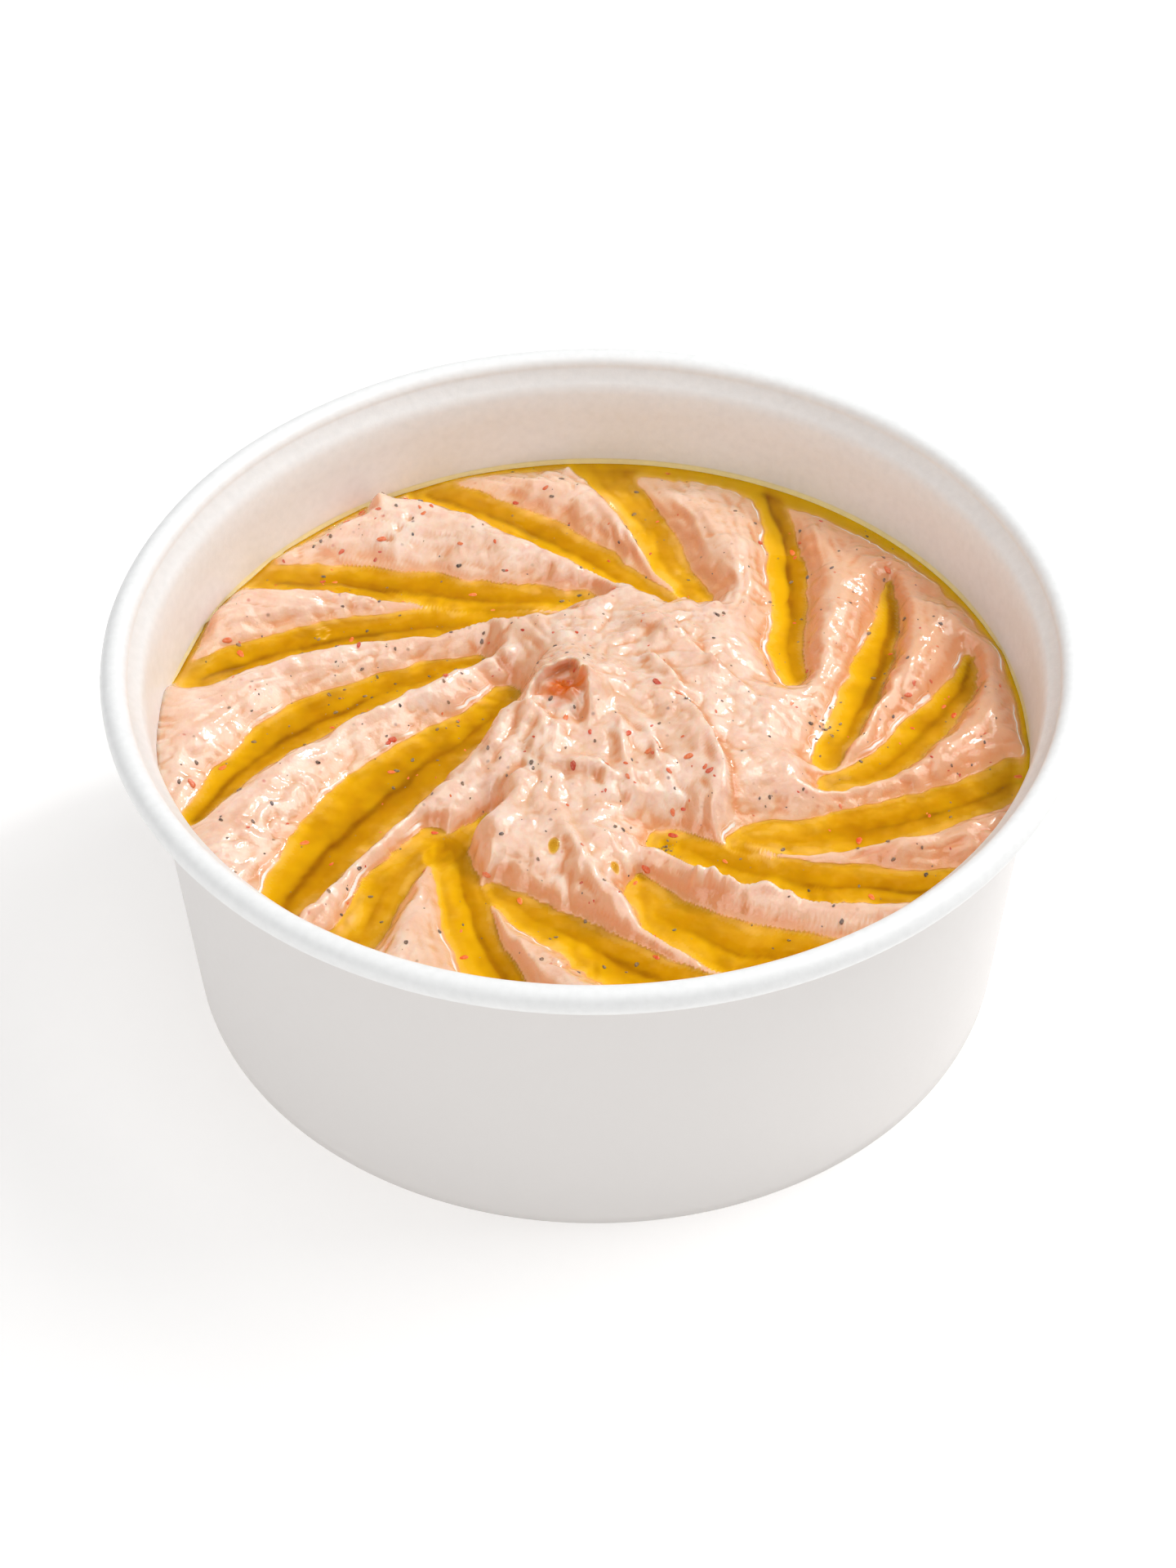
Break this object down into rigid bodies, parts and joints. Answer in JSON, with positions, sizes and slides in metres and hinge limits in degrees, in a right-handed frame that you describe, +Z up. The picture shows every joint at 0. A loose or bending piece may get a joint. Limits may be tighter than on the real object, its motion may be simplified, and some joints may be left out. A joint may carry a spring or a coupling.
{
  "type": "bowl of labneh",
  "caption": "Round white paper bowl with a rolled rim, filled with pink labneh in a spoon-drawn swirl round a soft mound, olive oil lying in the grooves.",
  "frame": {"origin": "centre of the bowl's foot ring, on the surface it stands on", "axes": "+Z up out of the bowl, -Y towards the viewer of the picture, +X to the right"},
  "size_m": [0.15, 0.15, 0.06],
  "materials": {
    "paper": "smooth coated white paper board",
    "labneh": "wet, creamy, speckled with chili and pepper",
    "olive_oil": "clear golden liquid"
  },
  "bodies": {
    "root": {"bowl": "paper", "labneh": "labneh", "olive_oil": "olive_oil"}
  },
  "joints": []
}
